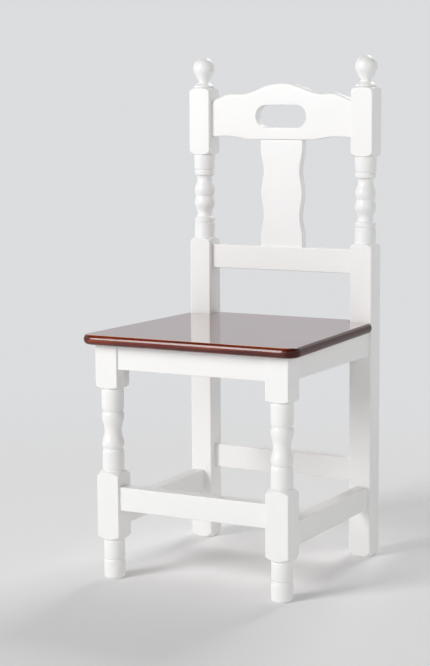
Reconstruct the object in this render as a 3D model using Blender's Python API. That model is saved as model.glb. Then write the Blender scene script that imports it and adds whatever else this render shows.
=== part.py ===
"""Dining chair with turned front legs, turned back posts, a shaped crest rail and a lacquered seat.

Lengths are in metres. +X is the viewer's right, -Y is the front and +Z is up.
The origin lies on the floor under the middle of the chair.
"""

import math

import bmesh
import bpy

# Whole chair
HEIGHT = 0.950
FRAME_WIDTH = 0.387
FRAME_DEPTH = 0.400

# Gaps and overruns
FIT_GAP = 0.0003
NOTCH_GAP = 0.0005
OVERRUN = 0.004
MERGE_DISTANCE = 0.00001

# Front legs
LEG_SIZE = 0.0448
LEG_EDGE = 0.0015
LEG_TURNED_RADIUS = 0.0206
LEG_SHOULDER = 0.0048
LEG_POMMEL = 0.010
LEG_BLOCK_BELOW_STRETCHER = 0.024
LEG_BLOCK_ABOVE_STRETCHER = 0.028
LEG_BLOCK_BELOW_APRON = 0.0355

# Back posts
POST_SIZE = 0.0442
POST_EDGE = 0.0025
POST_TURNED_RADIUS = 0.0207
POST_SHOULDER = 0.0105
POST_FOOT_ROUND = 0.007
POST_BLOCK_ABOVE_RAIL = 0.0135
POST_BLOCK_BELOW_CREST = 0.0315
POST_BLOCK_ABOVE_CREST = 0.0240
FINIAL_HEIGHT = 0.0592
FINIAL_RADIUS = 0.0210
FINIAL_DISC_RADIUS = 0.0199
FINIAL_DISC_EDGE = 0.0030
FINIAL_NECK_HEIGHT = 0.0128
FINIAL_NECK_RADIUS = 0.0099

# Seat board
SEAT_HEIGHT = 0.4525
SEAT_THICKNESS = 0.018
SEAT_FRONT_OVERHANG = 0.0215
SEAT_SIDE_OVERHANG = 0.023
SEAT_REAR_SIDE_OVERHANG = 0.0045
SEAT_FRONT_CORNER = 0.0185
SEAT_REAR_CORNER = 0.0098
SEAT_NOSING = 0.007
SEAT_TONGUE = 0.034

# Aprons
APRON_HEIGHT = 0.0447
APRON_THICKNESS = 0.020
FRONT_APRON_INSET = 0.0035
SIDE_APRON_INSET = 0.004
REAR_APRON_INSET = 0.004

# Stretchers
STRETCHER_HEIGHT = 0.0435
REAR_STRETCHER_HEIGHT = 0.0450
STRETCHER_THICKNESS = 0.024
STRETCHER_INSET = 0.005
REAR_STRETCHER_INSET = 0.0025
FRONT_STRETCHER_BOTTOM = 0.1302
SIDE_STRETCHER_BOTTOM = 0.0943
REAR_STRETCHER_BOTTOM = 0.1427
RAIL_EDGE = 0.0015

# Back rails and splat
BACK_RAIL_INSET = 0.0102
BACK_RAIL_THICKNESS = 0.0215
LOWER_RAIL_HEIGHT = 0.0455
CREST_HEIGHT = 0.1085
CREST_TOP_EDGE = 0.007
CREST_BOTTOM_EDGE = 0.002
SLOT_LENGTH = 0.1066
SLOT_HEIGHT = 0.0425
SLOT_ABOVE_CREST_BOTTOM = 0.0226
SLOT_EDGE = 0.0015
SPLAT_WIDTH = 0.0890
SPLAT_THICKNESS = 0.0175
SPLAT_SETBACK = 0.0032
SPLAT_EDGE = 0.002

# Mortise and tenon joints
TENON_THICKNESS = 0.009
TENON_SHOULDER = 0.006
CREST_TENON_SHOULDER = 0.010
MORTISE_WALL = 0.0025
SPLAT_TENON_THICKNESS = 0.008
SPLAT_TENON_LENGTH = 0.010

# Corner blocks and their screws
BLOCK_HEIGHT = 0.022
BLOCK_REACH = 0.062
BLOCK_END = 0.012
APRON_SCREW_PLACE = 0.046
APRON_SCREW_SEAT = 0.016
SEAT_SCREW_PLACE = 0.030
SEAT_SCREW_RECESS = 0.004
SCREW_BITE = 0.012
SCREW_RADIUS = 0.002
SCREW_TIP_RADIUS = 0.0004
SCREW_TIP_LENGTH = 0.003
SCREW_HEAD_RADIUS = 0.004
SCREW_HEAD_HEIGHT = 0.0025
SCREW_POCKET_GAP = 0.001

# Smoothness of curves
TURNED_SIDES = 20
SCREW_SIDES = 10
CURVE_STEPS = 3
BALL_STEPS = 7
DISC_STEPS = 2
CORNER_STEPS = 2
OUTLINE_STEPS = 2
NOSING_STEPS = 8
SLOT_STEPS = 8
EDGE_STEPS = 2
CREST_EDGE_STEPS = 3
SHARP_ANGLE = math.radians(40)

# Turned outlines, from the floor side up. Each stretch has its shape, its radius as a share of the
# turned radius and its height as a share of the turned section.
FOOT_START_SHARE = 0.78
FOOT_SHARES = (
    ("swell", 0.99, 0.095),
    ("line", 1.01, 0.42),
    ("tuck", 0.91, 0.525),
    ("swell", 0.98, 0.575),
    ("line", 0.995, 1.00),
)
VASE_SHARES = (
    ("line", 0.98, 0.24),
    ("tuck", 0.90, 0.272),
    ("swell", 0.99, 0.33),
    ("ease", 0.80, 0.505),
    ("ease", 1.01, 0.66),
    ("tuck", 0.91, 0.737),
    ("swell", 0.995, 0.775),
    ("line", 1.00, 1.00),
)
# One half of the posts' double baluster, from its middle outward to a block.
BALUSTER_START_SHARE = 0.83
BALUSTER_SHARES = (
    ("bead", 0.98, 0.165),
    ("ease", 0.69, 0.418),
    ("tuck", 0.85, 0.515),
    ("swell", 0.95, 0.545),
    ("line", 0.95, 0.615),
    ("line", 0.90, 0.640),
    ("line", 0.98, 0.662),
    ("line", 1.00, 1.00),
)
# The finial's ball is a sphere down to this angle below its middle, and a cone below that.
BALL_CONE_ANGLE = math.radians(30)
# A block is turned only where the lathe's outline comes inside this share of the bar's side.
BLOCK_CLEAR_SHARE = 0.75
SHOULDER_REACH_SHARE = 1.01
# The gap between the seat and the lower back rail, as a share of the back's height.
LOWER_RAIL_RISE_SHARE = 0.181

# Sawn outlines. Crest rail: share of the half length, then share of the height. Splat: share of the
# half length from its middle, then share of the half width.
CREST_TOP_SHARES = (
    (0.00, 1.000), (0.14, 0.981), (0.28, 0.924), (0.42, 0.854), (0.52, 0.820), (0.60, 0.812),
    (0.70, 0.818), (0.76, 0.809), (0.84, 0.771), (0.93, 0.722), (1.00, 0.680),
)
CREST_BOTTOM_SHARES = (
    (0.00, 0.000), (0.45, 0.000), (0.53, 0.013), (0.62, 0.036), (0.71, 0.050), (0.81, 0.053),
    (0.90, 0.047), (1.00, 0.035),
)
SPLAT_SHARES = (
    (0.00, 0.985), (0.10, 0.970), (0.22, 0.920), (0.34, 0.878), (0.44, 0.868), (0.54, 0.890),
    (0.66, 0.950), (0.78, 0.995), (0.88, 1.000), (1.00, 1.000),
)

# Finishes: colour, metallic, roughness
WHITE_PAINT = ((0.90, 0.90, 0.89), 0.0, 0.35)
MAHOGANY_LACQUER = ((0.16, 0.035, 0.02), 0.0, 0.12)
RAW_WOOD = ((0.72, 0.55, 0.36), 0.0, 0.6)
ZINC_STEEL = ((0.68, 0.66, 0.60), 1.0, 0.35)

# Places worked out from the sizes above
CHAIR_DEPTH = FRAME_DEPTH + SEAT_FRONT_OVERHANG
SEAT_FRONT_Y = -CHAIR_DEPTH / 2
LEG_FRONT_Y = SEAT_FRONT_Y + SEAT_FRONT_OVERHANG
LEG_BACK_Y = LEG_FRONT_Y + LEG_SIZE
POST_BACK_Y = LEG_FRONT_Y + FRAME_DEPTH
POST_FRONT_Y = POST_BACK_Y - POST_SIZE
LEG_X = (FRAME_WIDTH - LEG_SIZE) / 2
LEG_Y = LEG_FRONT_Y + LEG_SIZE / 2
POST_X = (FRAME_WIDTH - POST_SIZE) / 2
POST_Y = POST_BACK_Y - POST_SIZE / 2
SEAT_UNDERSIDE = SEAT_HEIGHT - SEAT_THICKNESS
UNDERFRAME_TOP = SEAT_UNDERSIDE - FIT_GAP
APRON_BOTTOM = UNDERFRAME_TOP - APRON_HEIGHT
LOWER_RAIL_BOTTOM = SEAT_HEIGHT + (HEIGHT - SEAT_HEIGHT) * LOWER_RAIL_RISE_SHARE
LOWER_RAIL_TOP = LOWER_RAIL_BOTTOM + LOWER_RAIL_HEIGHT
TOP_BLOCK_TOP = HEIGHT - FINIAL_HEIGHT
CREST_END_TOP = TOP_BLOCK_TOP - POST_BLOCK_ABOVE_CREST
CREST_BOTTOM = CREST_END_TOP - CREST_HEIGHT * CREST_TOP_SHARES[-1][1]
BACK_RAIL_Y = POST_FRONT_Y + BACK_RAIL_INSET + BACK_RAIL_THICKNESS / 2
SPLAT_Y = POST_FRONT_Y + BACK_RAIL_INSET + SPLAT_SETBACK + SPLAT_THICKNESS / 2
FRONT_APRON_Y = LEG_FRONT_Y + FRONT_APRON_INSET + APRON_THICKNESS / 2
REAR_APRON_Y = POST_BACK_Y - REAR_APRON_INSET - APRON_THICKNESS / 2
SIDE_APRON_X = FRAME_WIDTH / 2 - SIDE_APRON_INSET - APRON_THICKNESS / 2

SIDES = (("left", -1), ("right", 1))
ENDS = (-1, 1)


def clear_scene():
    for old in list(bpy.data.objects):
        bpy.data.objects.remove(old, do_unlink=True)


def finish_material(name, finish):
    """A material of its own for one piece."""
    colour, metallic, roughness = finish
    material = bpy.data.materials.new(name)
    material.use_nodes = True
    shader = material.node_tree.nodes["Principled BSDF"]
    shader.inputs["Base Color"].default_value = (*colour, 1.0)
    shader.inputs["Metallic"].default_value = metallic
    shader.inputs["Roughness"].default_value = roughness
    return material


def add_object(name, bm, place=(0, 0, 0), turn=(0, 0, 0)):
    """Turn a mesh under construction into an object with outward faces."""
    bmesh.ops.remove_doubles(bm, verts=bm.verts, dist=MERGE_DISTANCE)
    bmesh.ops.recalc_face_normals(bm, faces=bm.faces)
    mesh = bpy.data.meshes.new(name)
    bm.to_mesh(mesh)
    bm.free()
    mesh.shade_smooth()
    mesh.set_sharp_from_angle(angle=SHARP_ANGLE)
    piece = bpy.data.objects.new(name, mesh)
    piece.location = place
    piece.rotation_euler = turn
    bpy.context.scene.collection.objects.link(piece)
    return piece


def add_piece(name, bm, finish, place=(0, 0, 0), turn=(0, 0, 0)):
    """A piece of the chair, with its finish."""
    piece = add_object(name, bm, place, turn)
    piece.data.materials.append(finish_material(name, finish))
    return piece


def combine(piece, tool, operation):
    """Cut a piece with a tool, trim it to the tool or join the tool's shape to it."""
    tool.hide_render = True
    tool.display_type = "WIRE"
    modifier = piece.modifiers.new(tool.name, "BOOLEAN")
    modifier.operation = operation
    modifier.solver = "EXACT"
    modifier.object = tool


def box_mesh(low, high):
    """A box between two opposite corners."""
    bm = bmesh.new()
    bmesh.ops.create_cube(bm, size=1)
    for vert in bm.verts:
        for axis in range(3):
            vert.co[axis] = low[axis] if vert.co[axis] < 0 else high[axis]
    return bm


def loft(rings, closed_ends=True):
    """Skin a list of rings that have the same number of points."""
    bm = bmesh.new()
    loops = [[bm.verts.new(point) for point in ring] for ring in rings]
    for lower, upper in zip(loops, loops[1:]):
        for index in range(len(lower)):
            following = (index + 1) % len(lower)
            bm.faces.new((lower[index], lower[following], upper[following], upper[index]))
    if closed_ends:
        bm.faces.new(loops[0])
        bm.faces.new(loops[-1])
    return bm


def lathe(profile, sides):
    """Spin a profile of radii and heights around the upright axis."""
    bm = bmesh.new()
    verts = [bm.verts.new((radius, 0, height)) for radius, height in profile]
    edges = [bm.edges.new(pair) for pair in zip(verts, verts[1:])]
    bmesh.ops.spin(
        bm, geom=verts + edges, cent=(0, 0, 0), axis=(0, 0, 1), angle=math.tau, steps=sides,
        use_merge=True,
    )
    return bm


def arc(centre, radius, start, end, steps):
    """Points of a circular arc in a plane."""
    return [
        (
            centre[0] + radius * math.cos(start + (end - start) * step / steps),
            centre[1] + radius * math.sin(start + (end - start) * step / steps),
        )
        for step in range(steps + 1)
    ]


def rounded_rectangle(width, height, edge, steps):
    """Outline of a rectangle with rounded corners, around its middle."""
    x, y = width / 2 - edge, height / 2 - edge
    points = []
    for quarter, (side_x, side_y) in enumerate(((1, 1), (-1, 1), (-1, -1), (1, -1))):
        start = quarter * math.pi / 2
        points += arc((side_x * x, side_y * y), edge, start, start + math.pi / 2, steps)
    return points


def follow(points, stretch, radius, height):
    """Carry a turned outline on to a new radius and height along one stretch."""
    first_radius, first_height = points[-1]
    if stretch == "line":
        points.append((radius, height))
        return
    for step in range(1, CURVE_STEPS + 1):
        angle = math.pi / 2 * step / CURVE_STEPS
        across, along = {
            "bead": (math.sin(angle), step / CURVE_STEPS),
            "ease": ((1 - math.cos(2 * angle)) / 2, step / CURVE_STEPS),
            "swell": (math.sin(angle), 1 - math.cos(angle)),
            "tuck": (1 - math.cos(angle), math.sin(angle)),
        }[stretch]
        points.append((
            first_radius + (radius - first_radius) * across,
            first_height + (height - first_height) * along,
        ))


def turned_outline(start_share, shares):
    """Outline of a turned section, in shares."""
    points = [(start_share, 0.0)]
    for stretch, radius_share, height_share in shares:
        follow(points, stretch, radius_share, height_share)
    return points


def turned_section(outline, radius, bottom, top):
    """Scale an outline in shares to its turned radius and its place along the bar."""
    return [(share * radius, bottom + (top - bottom) * height) for share, height in outline]


def corner_reach(size, edge):
    """Distance from a bar's axis to its eased corner."""
    return size / math.sqrt(2) - edge * (math.sqrt(2) - 1)


def rounded_shoulder(profile, size, edge, rise):
    """Round shoulder where a turned section runs out into the block above it."""
    _, start = profile[-1]
    follow(profile, "swell", corner_reach(size, edge) * SHOULDER_REACH_SHARE, start + rise)
    profile.append((size * BLOCK_CLEAR_SHARE, start + rise))


def rounded_shoulder_above(size, edge, radius, top, rise):
    """The same shoulder at the upper end of a block, listed from the floor side up."""
    profile = [(radius, -top)]
    rounded_shoulder(profile, size, edge, rise)
    return [(across, -height) for across, height in reversed(profile)]


def bar_mesh(size, edge, bottom, top, foot_round=0):
    """Square bar with eased edges, and a rounded foot if it stands on the floor."""
    section = rounded_rectangle(size, size, edge, CORNER_STEPS)
    rings = []
    if foot_round:
        for step in range(CURVE_STEPS + 1):
            angle = math.pi / 2 * step / CURVE_STEPS
            shrink = 1 - 2 * foot_round * (1 - math.sin(angle)) / size
            height = bottom + foot_round * (1 - math.cos(angle))
            rings.append([(x * shrink, y * shrink, height) for x, y in section])
    else:
        rings.append([(x, y, bottom) for x, y in section])
    rings.append([(x, y, top) for x, y in section])
    return loft(rings)


def front_leg_profile():
    """Lathe outline of a front leg: foot, clear of the lower block, vase, clear of the top block."""
    block_bottom = SIDE_STRETCHER_BOTTOM - LEG_BLOCK_BELOW_STRETCHER
    block_top = FRONT_STRETCHER_BOTTOM + STRETCHER_HEIGHT + LEG_BLOCK_ABOVE_STRETCHER
    top_block_bottom = APRON_BOTTOM - LEG_BLOCK_BELOW_APRON
    radius = LEG_TURNED_RADIUS
    clear = LEG_SIZE * BLOCK_CLEAR_SHARE
    foot = turned_outline(FOOT_START_SHARE, FOOT_SHARES)
    vase = turned_outline(VASE_SHARES[0][1], VASE_SHARES)
    profile = [(0, 0)]
    profile += turned_section(foot, radius, 0, block_bottom)
    profile += [(clear, block_bottom + LEG_POMMEL), (clear, block_top - LEG_POMMEL)]
    profile += turned_section(vase, radius, block_top, top_block_bottom)
    rounded_shoulder(profile, LEG_SIZE, LEG_EDGE, LEG_SHOULDER)
    profile += [(clear, UNDERFRAME_TOP + OVERRUN), (0, UNDERFRAME_TOP + OVERRUN)]
    return profile


def finial_profile(bottom):
    """Disc that runs up into a neck, then a cone and a ball, on top of a back post."""
    rim = FINIAL_DISC_EDGE
    profile = arc((FINIAL_DISC_RADIUS - rim, bottom + rim), rim, -math.pi / 2, 0, DISC_STEPS)
    follow(profile, "ease", FINIAL_NECK_RADIUS, bottom + FINIAL_NECK_HEIGHT)
    middle = HEIGHT - FINIAL_RADIUS
    profile += arc((0, middle), FINIAL_RADIUS, -BALL_CONE_ANGLE, math.pi / 2, BALL_STEPS)[:-1]
    profile.append((0, HEIGHT))
    return profile


def back_post_profile():
    """Lathe outline of a back post: clear of the lower block, baluster, clear of the top block, finial."""
    lower_block_top = LOWER_RAIL_TOP + POST_BLOCK_ABOVE_RAIL
    top_block_bottom = CREST_BOTTOM - POST_BLOCK_BELOW_CREST
    middle = (lower_block_top + top_block_bottom) / 2
    radius = POST_TURNED_RADIUS
    clear = POST_SIZE * BLOCK_CLEAR_SHARE
    half = turned_outline(BALUSTER_START_SHARE, BALUSTER_SHARES)
    upper_half = turned_section(half, radius, middle, top_block_bottom)
    lower_half = turned_section(half, radius, middle, lower_block_top)
    profile = [(0, -OVERRUN), (clear, -OVERRUN)]
    profile += rounded_shoulder_above(POST_SIZE, POST_EDGE, radius, lower_block_top, POST_SHOULDER)
    profile += lower_half[-2:0:-1] + upper_half
    rounded_shoulder(profile, POST_SIZE, POST_EDGE, POST_SHOULDER)
    profile += rounded_shoulder_above(POST_SIZE, POST_EDGE, radius, TOP_BLOCK_TOP, POST_SHOULDER)
    profile += finial_profile(TOP_BLOCK_TOP)
    return profile


def front_legs():
    """Two legs, each a square bar turned where the lathe's outline comes inside it."""
    legs = {}
    for side, sign in SIDES:
        name = "front_leg_" + side
        place = (sign * LEG_X, LEG_Y, 0)
        bar = bar_mesh(LEG_SIZE, LEG_EDGE, -OVERRUN, UNDERFRAME_TOP)
        legs[side] = add_piece(name, bar, WHITE_PAINT, place)
        envelope = add_object(name + "_lathe", lathe(front_leg_profile(), TURNED_SIDES), place)
        combine(legs[side], envelope, "INTERSECT")
    return legs


def back_posts():
    """Two posts from the floor to their finials, each turned from one square bar."""
    posts = {}
    for side, sign in SIDES:
        name = "back_post_" + side
        place = (sign * POST_X, POST_Y, 0)
        bar = bar_mesh(POST_SIZE, POST_EDGE, 0, HEIGHT + OVERRUN, POST_FOOT_ROUND)
        posts[side] = add_piece(name, bar, WHITE_PAINT, place)
        envelope = add_object(name + "_lathe", lathe(back_post_profile(), TURNED_SIDES), place)
        combine(posts[side], envelope, "INTERSECT")
    return posts


def tenon_joint(rail, holder, shoulder, tenon):
    """Grow a tenon from a rail's shoulder and cut its mortise in the piece that holds it.

    The shoulder is a place along the rail's own length, negative at its first end. The tenon is its
    length, its thickness, and its lowest and highest height in the rail's own frame.
    """
    length, thickness, low, high = tenon
    sign = math.copysign(1, shoulder)
    root, tip = shoulder - sign * OVERRUN, shoulder + sign * length
    half = thickness / 2
    corners = sorted((root, tip))
    body = box_mesh((corners[0], -half, low), (corners[1], half, high))
    name = rail.name + "_in_" + holder.name
    combine(rail, add_object(name + "_tenon", body, rail.location, rail.rotation_euler), "UNION")
    corners = sorted((root, tip + sign * FIT_GAP))
    hole = box_mesh(
        (corners[0], -half - FIT_GAP, low - FIT_GAP), (corners[1], half + FIT_GAP, high + FIT_GAP)
    )
    combine(holder, add_object(name + "_mortise", hole, rail.location, rail.rotation_euler), "DIFFERENCE")


def crossing_tenon_length(bar_size, crossing_inset, crossing_thickness):
    """Tenon length that leaves a wall to the mortise that comes in from the next side."""
    crossing_mortise = crossing_inset + (crossing_thickness + TENON_THICKNESS) / 2 + FIT_GAP
    return bar_size - crossing_mortise - MORTISE_WALL - FIT_GAP


def rail_mesh(length, height, thickness):
    """Straight rail along its own X with eased long edges."""
    section = rounded_rectangle(thickness, height, RAIL_EDGE, EDGE_STEPS)
    return loft([[(x, y, z) for y, z in section] for x in (-length / 2, length / 2)])


def straight_rail(name, length, height, thickness, place, turn, holders, tenon_lengths):
    """A straight rail with a tenon into the piece at each end, first end first."""
    rail = add_piece(name, rail_mesh(length, height, thickness), WHITE_PAINT, place, turn)
    reach = height / 2 - TENON_SHOULDER
    for end, holder, tenon_length in zip(ENDS, holders, tenon_lengths):
        tenon = (tenon_length, TENON_THICKNESS, -reach, reach)
        tenon_joint(rail, holder, end * length / 2, tenon)
    return rail


def cross_rails(legs, posts):
    """Rails from side to side: two aprons, two stretchers and the lower back rail."""
    leg_length = FRAME_WIDTH - 2 * LEG_SIZE - 2 * FIT_GAP
    post_length = FRAME_WIDTH - 2 * POST_SIZE - 2 * FIT_GAP
    leg_tenon = crossing_tenon_length(LEG_SIZE, SIDE_APRON_INSET, APRON_THICKNESS)
    post_tenon = crossing_tenon_length(POST_SIZE, SIDE_APRON_INSET, APRON_THICKNESS)
    apron_z = APRON_BOTTOM + APRON_HEIGHT / 2
    half = STRETCHER_THICKNESS / 2
    leg_pair, post_pair = list(legs.values()), list(posts.values())
    rails = (
        ("front_apron", leg_length, APRON_HEIGHT, APRON_THICKNESS, FRONT_APRON_Y, apron_z,
         leg_pair, leg_tenon),
        ("rear_apron", post_length, APRON_HEIGHT, APRON_THICKNESS, REAR_APRON_Y, apron_z,
         post_pair, post_tenon),
        ("front_stretcher", leg_length, STRETCHER_HEIGHT, STRETCHER_THICKNESS,
         LEG_FRONT_Y + STRETCHER_INSET + half, FRONT_STRETCHER_BOTTOM + STRETCHER_HEIGHT / 2,
         leg_pair, leg_tenon),
        ("rear_stretcher", post_length, REAR_STRETCHER_HEIGHT, STRETCHER_THICKNESS,
         POST_BACK_Y - REAR_STRETCHER_INSET - half, REAR_STRETCHER_BOTTOM + REAR_STRETCHER_HEIGHT / 2,
         post_pair, post_tenon),
        ("lower_back_rail", post_length, LOWER_RAIL_HEIGHT, BACK_RAIL_THICKNESS, BACK_RAIL_Y,
         LOWER_RAIL_BOTTOM + LOWER_RAIL_HEIGHT / 2, post_pair, post_tenon),
    )
    built = {}
    for name, length, height, thickness, y, z, holders, tenon in rails:
        built[name] = straight_rail(
            name, length, height, thickness, (0, y, z), (0, 0, 0), holders, (tenon, tenon)
        )
    return built


def side_rails(legs, posts):
    """Rails from each front leg to the post behind it: side aprons and side stretchers."""
    length = POST_FRONT_Y - LEG_BACK_Y - 2 * FIT_GAP
    middle = (POST_FRONT_Y + LEG_BACK_Y) / 2
    tenons = (
        crossing_tenon_length(LEG_SIZE, FRONT_APRON_INSET, APRON_THICKNESS),
        crossing_tenon_length(POST_SIZE, REAR_APRON_INSET, APRON_THICKNESS),
    )
    stretcher_tenons = (
        crossing_tenon_length(LEG_SIZE, STRETCHER_INSET, STRETCHER_THICKNESS),
        crossing_tenon_length(POST_SIZE, REAR_STRETCHER_INSET, STRETCHER_THICKNESS),
    )
    turn = (0, 0, math.pi / 2)
    built = {}
    for side, sign in SIDES:
        holders = (legs[side], posts[side])
        apron_place = (sign * SIDE_APRON_X, middle, APRON_BOTTOM + APRON_HEIGHT / 2)
        built[side + "_apron"] = straight_rail(
            side + "_apron", length, APRON_HEIGHT, APRON_THICKNESS, apron_place, turn, holders, tenons
        )
        stretcher_x = FRAME_WIDTH / 2 - STRETCHER_INSET - STRETCHER_THICKNESS / 2
        stretcher_z = SIDE_STRETCHER_BOTTOM + STRETCHER_HEIGHT / 2
        built[side + "_stretcher"] = straight_rail(
            side + "_stretcher", length, STRETCHER_HEIGHT, STRETCHER_THICKNESS,
            (sign * stretcher_x, middle, stretcher_z), turn, holders, stretcher_tenons,
        )
    return built


def smooth_curve(points):
    """Rounded curve through points whose first value rises, level at its start."""
    slopes = [0.0]
    for before, after in zip(points, points[2:]):
        slopes.append((after[1] - before[1]) / (after[0] - before[0]))
    slopes.append((points[-1][1] - points[-2][1]) / (points[-1][0] - points[-2][0]))
    curve = [points[0]]
    for index in range(len(points) - 1):
        (x0, y0), (x1, y1) = points[index], points[index + 1]
        for step in range(1, OUTLINE_STEPS + 1):
            t = step / OUTLINE_STEPS
            span = x1 - x0
            y = (
                (2 * t ** 3 - 3 * t ** 2 + 1) * y0 + (t ** 3 - 2 * t ** 2 + t) * span * slopes[index]
                + (3 * t ** 2 - 2 * t ** 3) * y1 + (t ** 3 - t ** 2) * span * slopes[index + 1]
            )
            curve.append((x0 + span * t, y))
    return curve


def mirrored(curve):
    """The curve's mirror image followed by the curve itself."""
    return [(-x, y) for x, y in reversed(curve[1:])] + list(curve)


def board_mesh(outline, thickness, edges, end):
    """Board sawn to an outline of lengths and heights, with eased edges but for its two ends.

    The edges are a size and a number of steps for the board's lower rims, then for its upper rims.
    """
    bm = bmesh.new()
    front = bm.faces.new([bm.verts.new((x, -thickness / 2, z)) for x, z in outline])
    moved = bmesh.ops.extrude_face_region(bm, geom=[front])["geom"]
    for vert in moved:
        if isinstance(vert, bmesh.types.BMVert):
            vert.co.y = thickness / 2
    middle = sum(z for x, z in outline) / len(outline)
    sawn = ([], [])
    for rim in bm.edges:
        first, second = (vert.co for vert in rim.verts)
        across = abs(first.y - second.y) > thickness / 2
        at_end = min(abs(first.x), abs(second.x)) > end - MERGE_DISTANCE
        if not across and not at_end:
            sawn[first.z > middle].append(rim)
    for rims, (edge, steps) in zip(sawn, edges):
        bmesh.ops.bevel(
            bm, geom=rims, offset=edge, segments=steps, profile=0.5, affect="EDGES",
            clamp_overlap=False,
        )
    return bm


def slot_mesh(length, height, thickness, edge):
    """Tool for a hand slot with round ends and rounded rims."""
    radius = height / 2
    reach = length / 2 - radius

    def ring(y, grow):
        points = arc((reach, 0), radius + grow, -math.pi / 2, math.pi / 2, SLOT_STEPS)
        points += arc((-reach, 0), radius + grow, math.pi / 2, 3 * math.pi / 2, SLOT_STEPS)
        return [(x, y, z) for x, z in points]

    rim = [(thickness / 2 + OVERRUN, edge)]
    for step in range(EDGE_STEPS + 1):
        angle = math.pi / 2 * step / EDGE_STEPS
        rim.append((thickness / 2 - edge + edge * math.cos(angle), edge * (1 - math.sin(angle))))
    front = [ring(-y, grow) for y, grow in rim]
    back = [ring(y, grow) for y, grow in reversed(rim)]
    return loft(front + back)


def crest_rail(posts):
    """Crest rail with its central hump, shoulders, arched underside and hand slot."""
    half = FRAME_WIDTH / 2 - POST_SIZE - FIT_GAP
    top = [(x * half, z * CREST_HEIGHT) for x, z in mirrored(smooth_curve(CREST_TOP_SHARES))]
    bottom = [(x * half, z * CREST_HEIGHT) for x, z in mirrored(smooth_curve(CREST_BOTTOM_SHARES))]
    outline = bottom + top[::-1]
    place = (0, BACK_RAIL_Y, CREST_BOTTOM)
    edges = ((CREST_BOTTOM_EDGE, EDGE_STEPS), (CREST_TOP_EDGE, CREST_EDGE_STEPS))
    body = board_mesh(outline, BACK_RAIL_THICKNESS, edges, half)
    rail = add_piece("crest_rail", body, WHITE_PAINT, place)
    slot_z = CREST_BOTTOM + SLOT_ABOVE_CREST_BOTTOM + SLOT_HEIGHT / 2
    slot = slot_mesh(SLOT_LENGTH, SLOT_HEIGHT, BACK_RAIL_THICKNESS, SLOT_EDGE)
    combine(rail, add_object("crest_rail_slot", slot, (0, BACK_RAIL_Y, slot_z)), "DIFFERENCE")
    low = bottom[-1][1] + CREST_TENON_SHOULDER
    high = top[-1][1] - CREST_TENON_SHOULDER
    length = crossing_tenon_length(POST_SIZE, SIDE_APRON_INSET, APRON_THICKNESS)
    for end, post in zip(ENDS, posts.values()):
        tenon_joint(rail, post, end * half, (length, TENON_THICKNESS, low, high))
    return rail


def back_splat(crest, lower_rail):
    """Splat with scalloped sides, tenoned into the crest rail above and the lower rail below."""
    low, high = LOWER_RAIL_TOP + FIT_GAP, CREST_BOTTOM - FIT_GAP
    half = (high - low) / 2
    side = [(x * half, y * SPLAT_WIDTH / 2) for x, y in mirrored(smooth_curve(SPLAT_SHARES))]
    outline = [(x, -y) for x, y in side] + side[::-1]
    place = (0, SPLAT_Y, (low + high) / 2)
    turn = (0, -math.pi / 2, 0)
    edges = ((SPLAT_EDGE, EDGE_STEPS), (SPLAT_EDGE, EDGE_STEPS))
    body = board_mesh(outline, SPLAT_THICKNESS, edges, half)
    splat = add_piece("back_splat", body, WHITE_PAINT, place, turn)
    reach = SPLAT_WIDTH / 2 - TENON_SHOULDER
    for end, holder in zip(ENDS, (lower_rail, crest)):
        tenon = (SPLAT_TENON_LENGTH, SPLAT_TENON_THICKNESS, -reach, reach)
        tenon_joint(splat, holder, end * half, tenon)
    return splat


def seat_outline(inset):
    """Plan of the seat forward of the posts, drawn in by an inset, with rounded corners."""
    rear_y = POST_FRONT_Y - NOTCH_GAP
    half_front = FRAME_WIDTH / 2 + SEAT_SIDE_OVERHANG
    half_rear = FRAME_WIDTH / 2 + SEAT_REAR_SIDE_OVERHANG
    taper = math.atan2(half_front - half_rear, rear_y - SEAT_FRONT_Y)
    outline = []
    for sign in (1, -1):
        corners = (
            (half_front, SEAT_FRONT_Y, SEAT_FRONT_CORNER, -math.pi / 2, taper, 1),
            (half_rear, rear_y, SEAT_REAR_CORNER, taper, math.pi / 2, -1),
        )
        side = []
        for x, y, radius, start, end, inward in corners:
            centre_y = y + inward * radius
            centre_x = x - (inward * radius) * math.tan(taper) - radius / math.cos(taper)
            side += arc((centre_x, centre_y), radius - inset, start, end, CORNER_STEPS * 2)
        outline += [(sign * x, y) for x, y in (side if sign > 0 else side[::-1])]
    return outline


def nosing():
    """Section of the seat's nosing: how far it is drawn in, and its height from the board's middle."""
    angles = [math.pi * step / NOSING_STEPS - math.pi / 2 for step in range(NOSING_STEPS + 1)]
    return [
        (SEAT_NOSING * (1 - math.cos(angle)), SEAT_THICKNESS / 2 * math.sin(angle)) for angle in angles
    ]


def nosed_board():
    """Front part of the seat: its plan with a rounded nosing on every edge."""
    return loft([[(x, y, z) for x, y in seat_outline(inset)] for inset, z in nosing()])


def seat_tongue():
    """Rear part of the seat, which runs back between the posts to its own nosing."""
    half = FRAME_WIDTH / 2 + SEAT_REAR_SIDE_OVERHANG - SEAT_REAR_CORNER - FIT_GAP
    rear = POST_FRONT_Y + SEAT_TONGUE
    front = POST_FRONT_Y - SEAT_TONGUE
    nose = [(rear - inset, z) for inset, z in nosing()]
    section = [(front, nose[0][1])] + nose + [(front, nose[-1][1])]
    return loft([[(x, y, z) for y, z in section] for x in (-half, half)])


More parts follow.
